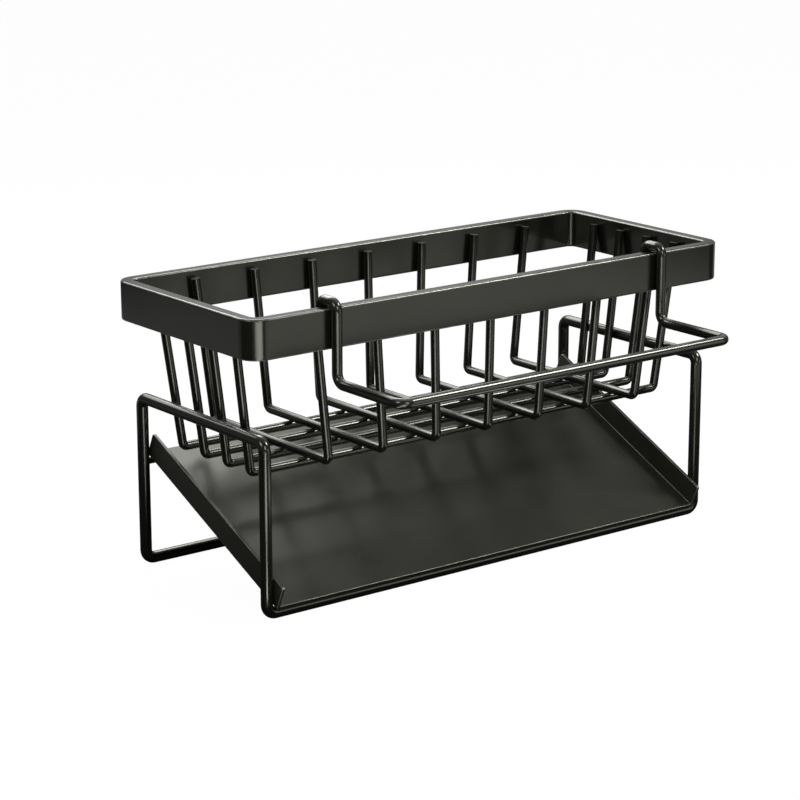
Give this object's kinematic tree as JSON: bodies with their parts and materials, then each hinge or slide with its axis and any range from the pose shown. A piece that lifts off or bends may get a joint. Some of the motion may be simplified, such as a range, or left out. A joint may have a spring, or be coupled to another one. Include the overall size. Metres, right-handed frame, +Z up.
{
  "type": "sponge holder",
  "caption": "Wire sponge basket with a flat rim on a bent wire base, a sloping pull-out drip tray under it and a towel rail hooked on the front.",
  "frame": {"origin": "on the table under the middle of the rim", "axes": "+X along the rim, -Y to the front where the rail hangs and the tray opens, +Z up"},
  "size_m": [0.227, 0.1316, 0.116],
  "materials": {
    "rim_paint": "satin black powder coat",
    "basket_paint": "semi-gloss black powder coat",
    "frame_paint": "semi-gloss black powder coat",
    "tray_paint": "satin black powder coat",
    "rail_paint": "semi-gloss black powder coat"
  },
  "bodies": {
    "rack": {"rim_band": "rim_paint", "cross_wire_1": "basket_paint", "cross_wire_2": "basket_paint", "cross_wire_3": "basket_paint", "cross_wire_4": "basket_paint", "cross_wire_5": "basket_paint", "cross_wire_6": "basket_paint", "cross_wire_7": "basket_paint", "long_wire_1": "basket_paint", "long_wire_2": "basket_paint", "long_wire_3": "basket_paint", "long_wire_4": "basket_paint", "base_frame": "frame_paint", "tray_rest_rod": "frame_paint"},
    "tray": {"drip_tray": "tray_paint"},
    "rail": {"towel_rail": "rail_paint"}
  },
  "joints": [
    {"name": "tray_slide", "type": "slide", "parent": "rack", "child": "tray", "axis": [0, -1, 0], "range_m": [0, 0.09]},
    {"name": "rail_lift", "type": "slide", "parent": "rack", "child": "rail", "axis": [0, 0, 1], "range_m": [0, 0.03]}
  ]
}
